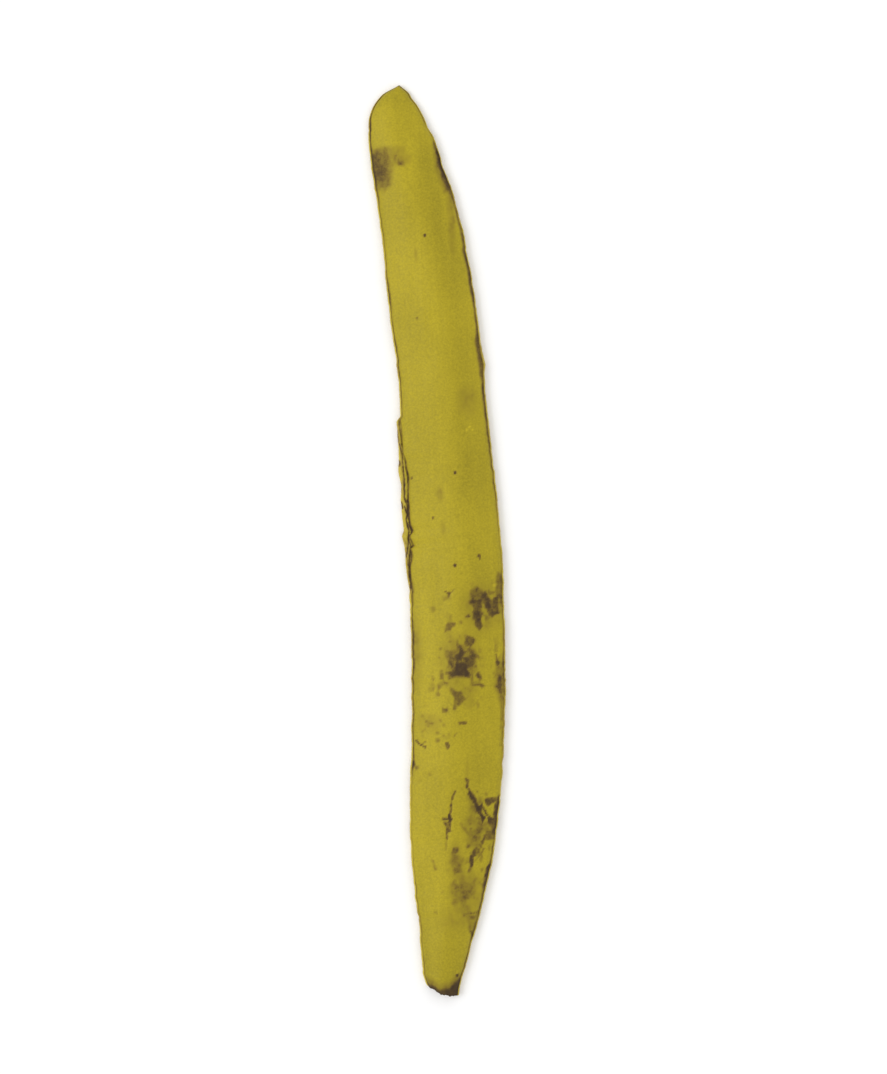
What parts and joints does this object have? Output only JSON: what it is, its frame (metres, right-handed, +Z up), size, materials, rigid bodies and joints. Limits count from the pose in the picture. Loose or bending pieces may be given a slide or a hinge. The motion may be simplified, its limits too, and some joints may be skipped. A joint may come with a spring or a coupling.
{
  "type": "banana peel strip",
  "caption": "Strip of banana peel torn along the whole fruit, lying skin side up as a low arch with torn edges, a torn neck end and a blunt blossom tip.",
  "frame": {"origin": "on the table, under the middle of the strip's footprint", "axes": "+Y from the torn neck end to the blossom tip, +Z up out of the skin, +X to the side that the strip bows to"},
  "size_m": [0.0262, 0.21, 0.0053],
  "materials": {
    "peel": "satin"
  },
  "bodies": {
    "root": {"banana_peel": "peel"}
  },
  "joints": []
}
